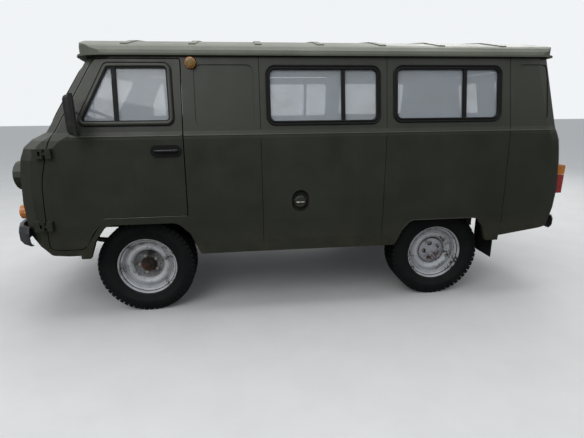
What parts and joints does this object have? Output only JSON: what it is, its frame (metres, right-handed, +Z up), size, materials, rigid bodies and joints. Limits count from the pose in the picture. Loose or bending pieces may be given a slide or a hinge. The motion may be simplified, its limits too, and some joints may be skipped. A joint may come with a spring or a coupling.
{
  "type": "military ambulance truck",
  "caption": "Boxy forward-control off-road ambulance van: windowed load body, opening doors, steered front wheels, ladder chassis and leaf-sprung axles.",
  "frame": {"origin": "on the ground, midway along the vehicle's length and width", "axes": "+X towards the front, +Y to the vehicle's left, +Z up"},
  "size_m": [4.265, 2.2532, 2.051],
  "materials": {
    "olive_paint": "matt dark olive paint with dirt",
    "grey_paint": "matt light grey-green interior paint",
    "bumper_paint": "satin dark blue-grey paint",
    "chassis_paint": "matt black underbody paint with road dirt",
    "wheel_paint": "silver-white paint with rust and dirt",
    "exhaust_steel": "dull rusty steel",
    "iron": "dark cast iron",
    "black_rubber": "matt black rubber",
    "tyre_rubber": "matt black tyre rubber",
    "black_plastic": "matt black plastic",
    "seat_cover": "dark vinyl",
    "amber_plastic": "clear-coated amber plastic",
    "red_plastic": "clear-coated red plastic",
    "clear_glass": "clear glass, faint green tint"
  },
  "bodies": {
    "body": {"amber_lamps": "amber_plastic", "body_fittings": "olive_paint", "bumpers": "bumper_paint", "chassis_crossmembers": "chassis_paint", "chassis_rails": "chassis_paint", "dashboard": "black_plastic", "driveline": "iron", "engine": "iron", "engine_cover": "grey_paint", "exhaust": "exhaust_steel", "floor": "olive_paint", "front_axle": "chassis_paint", "front_body": "olive_paint", "fuel_tank": "chassis_paint", "headlamp_lenses": "clear_glass", "leaf_springs": "chassis_paint", "mud_flaps": "black_rubber", "nose_trim": "black_plastic", "partition": "grey_paint", "rear_axle": "chassis_paint", "rear_surround": "olive_paint", "roof": "olive_paint", "seats": "seat_cover", "side_glass": "clear_glass", "side_wall_left": "olive_paint", "side_wall_right": "olive_paint", "tail_lamps": "red_plastic", "window_seals": "black_rubber", "windscreen": "clear_glass"},
    "front_door_left": {"front_door_left": "olive_paint", "front_door_trim_left": "black_rubber", "front_door_glass_left": "clear_glass", "mirror_left": "black_plastic"},
    "front_door_right": {"front_door_right": "olive_paint", "front_door_trim_right": "black_rubber", "front_door_glass_right": "clear_glass", "mirror_right": "black_plastic"},
    "side_door": {"side_door": "olive_paint", "side_door_trim": "black_rubber", "side_door_glass": "clear_glass"},
    "rear_door_left": {"rear_door_left": "olive_paint", "rear_door_trim_left": "black_rubber", "rear_door_glass_left": "clear_glass"},
    "rear_door_right": {"rear_door_right": "olive_paint", "rear_door_trim_right": "black_rubber", "rear_door_glass_right": "clear_glass"},
    "knuckle_left": {"knuckle_left": "iron"},
    "knuckle_right": {"knuckle_right": "iron"},
    "front_wheel_left": {"wheel_front_left": "wheel_paint", "tyre_front_left": "tyre_rubber"},
    "front_wheel_right": {"wheel_front_right": "wheel_paint", "tyre_front_right": "tyre_rubber"},
    "rear_wheel_left": {"wheel_rear_left": "wheel_paint", "tyre_rear_left": "tyre_rubber"},
    "rear_wheel_right": {"wheel_rear_right": "wheel_paint", "tyre_rear_right": "tyre_rubber"},
    "steering_wheel": {"steering_wheel": "black_plastic"}
  },
  "joints": [
    {"name": "front_door_left_hinge", "type": "hinge", "parent": "body", "child": "front_door_left", "pos_m": [1.758, 0.986, 0.757], "axis": [0.1327, 0, -0.9912], "range_deg": [0, 70]},
    {"name": "front_door_right_hinge", "type": "hinge", "parent": "body", "child": "front_door_right", "pos_m": [1.758, -0.986, 0.757], "axis": [-0.1327, 0, 0.9912], "range_deg": [0, 70]},
    {"name": "side_door_hinge", "type": "hinge", "parent": "body", "child": "side_door", "pos_m": [0.226, -0.986, 0.76], "axis": [0, 0, 1], "range_deg": [0, 90]},
    {"name": "rear_door_left_hinge", "type": "hinge", "parent": "body", "child": "rear_door_left", "pos_m": [-2.125, 0.664, 0.76], "axis": [-0.0995, 0, -0.995], "range_deg": [0, 100]},
    {"name": "rear_door_right_hinge", "type": "hinge", "parent": "body", "child": "rear_door_right", "pos_m": [-2.125, -0.664, 0.76], "axis": [0.0995, 0, 0.995], "range_deg": [0, 100]},
    {"name": "left_knuckle_steer", "type": "hinge", "parent": "body", "child": "knuckle_left", "pos_m": [1.15, 0.568, 0.361], "axis": [0, 0, 1], "range_deg": [-27, 27]},
    {"name": "right_knuckle_steer", "type": "hinge", "parent": "body", "child": "knuckle_right", "pos_m": [1.15, -0.568, 0.361], "axis": [0, 0, 1], "range_deg": [-27, 27]},
    {"name": "front_left_wheel_spin", "type": "hinge", "parent": "knuckle_left", "child": "front_wheel_left", "pos_m": [1.15, 0.721, 0.361], "axis": [0, 1, 0], "continuous": true},
    {"name": "front_right_wheel_spin", "type": "hinge", "parent": "knuckle_right", "child": "front_wheel_right", "pos_m": [1.15, -0.721, 0.361], "axis": [0, 1, 0], "continuous": true},
    {"name": "rear_left_wheel_spin", "type": "hinge", "parent": "body", "child": "rear_wheel_left", "pos_m": [-1.15, 0.721, 0.361], "axis": [0, 1, 0], "continuous": true},
    {"name": "rear_right_wheel_spin", "type": "hinge", "parent": "body", "child": "rear_wheel_right", "pos_m": [-1.15, -0.721, 0.361], "axis": [0, 1, 0], "continuous": true},
    {"name": "steering_wheel_turn", "type": "hinge", "parent": "body", "child": "steering_wheel", "pos_m": [1.44, 0.46, 1.45], "axis": [-0.454, 0, 0.891], "range_deg": [-540, 540]}
  ],
  "couplings": [
    {"joint": "right_knuckle_steer", "follows": "left_knuckle_steer", "ratio": 1},
    {"joint": "steering_wheel_turn", "follows": "left_knuckle_steer", "ratio": 20}
  ]
}
